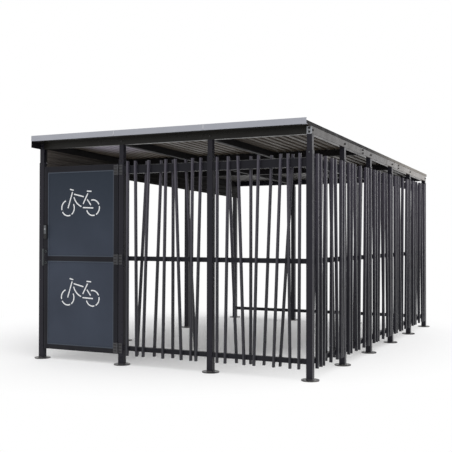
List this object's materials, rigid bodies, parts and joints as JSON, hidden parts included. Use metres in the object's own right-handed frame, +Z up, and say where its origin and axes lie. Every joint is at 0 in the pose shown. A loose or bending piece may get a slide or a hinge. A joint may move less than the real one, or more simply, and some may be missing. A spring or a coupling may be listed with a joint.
{
  "type": "bike shelter",
  "caption": "Walk-in bike shelter of steel tube with fence walls of leaning tubes, a hinged panel door, posts on round base plates and a ribbed roof that falls to the rear.",
  "frame": {"origin": "on the ground, in the middle of the outline", "axes": "+Y from the front with the door to the rear, +X to the right seen from the front, +Z up"},
  "size_m": [3.1648, 5.04, 2.3382],
  "materials": {
    "frame_paint": "fine textured powder coat, anthracite",
    "fence_paint": "fine textured powder coat, anthracite",
    "panel_paint": "satin paint, dark blue grey",
    "flashing_paint": "satin paint, pale blue grey",
    "deck_sheet": "coated sheet, warm grey",
    "hinge_paint": "satin black",
    "lock_steel": "satin dark grey"
  },
  "bodies": {
    "frame": {"post_front_1": "frame_paint", "post_front_2": "frame_paint", "post_front_3": "frame_paint", "post_front_4": "frame_paint", "post_right_1": "frame_paint", "post_right_2": "frame_paint", "post_right_3": "frame_paint", "post_right_4": "frame_paint", "post_right_5": "frame_paint", "post_left_1": "frame_paint", "post_left_2": "frame_paint", "post_left_3": "frame_paint", "post_rear_1": "frame_paint", "post_rear_2": "frame_paint", "post_stubs": "frame_paint", "front_beam": "frame_paint", "rear_beam": "frame_paint", "rafter_left": "frame_paint", "rafter_inner_left": "frame_paint", "rafter_inner_right": "frame_paint", "rafter_right": "frame_paint", "purlins": "frame_paint", "deck_left": "deck_sheet", "deck_middle": "deck_sheet", "deck_right": "deck_sheet", "verge_strips": "frame_paint", "front_flashing": "flashing_paint", "front_soffit": "frame_paint", "fence_front_1": "fence_paint", "fence_front_2": "fence_paint", "fence_right_1": "fence_paint", "fence_right_2": "fence_paint", "fence_right_3": "fence_paint", "fence_right_4": "fence_paint", "fence_right_5": "fence_paint", "rear_low_rails": "frame_paint", "left_header": "deck_sheet", "hinge_post_leaves": "hinge_paint"},
    "door": {"door_frame": "frame_paint", "door_panel_upper": "panel_paint", "door_panel_lower": "panel_paint", "hinge_door_leaves": "hinge_paint", "lock_case": "lock_steel", "pull_handle": "lock_steel"}
  },
  "joints": [
    {"name": "door_hinge", "type": "hinge", "parent": "frame", "child": "door", "pos_m": [-0.5335, -2.39, 1.08], "axis": [0, 0, 1], "range_deg": [0, 110]}
  ]
}
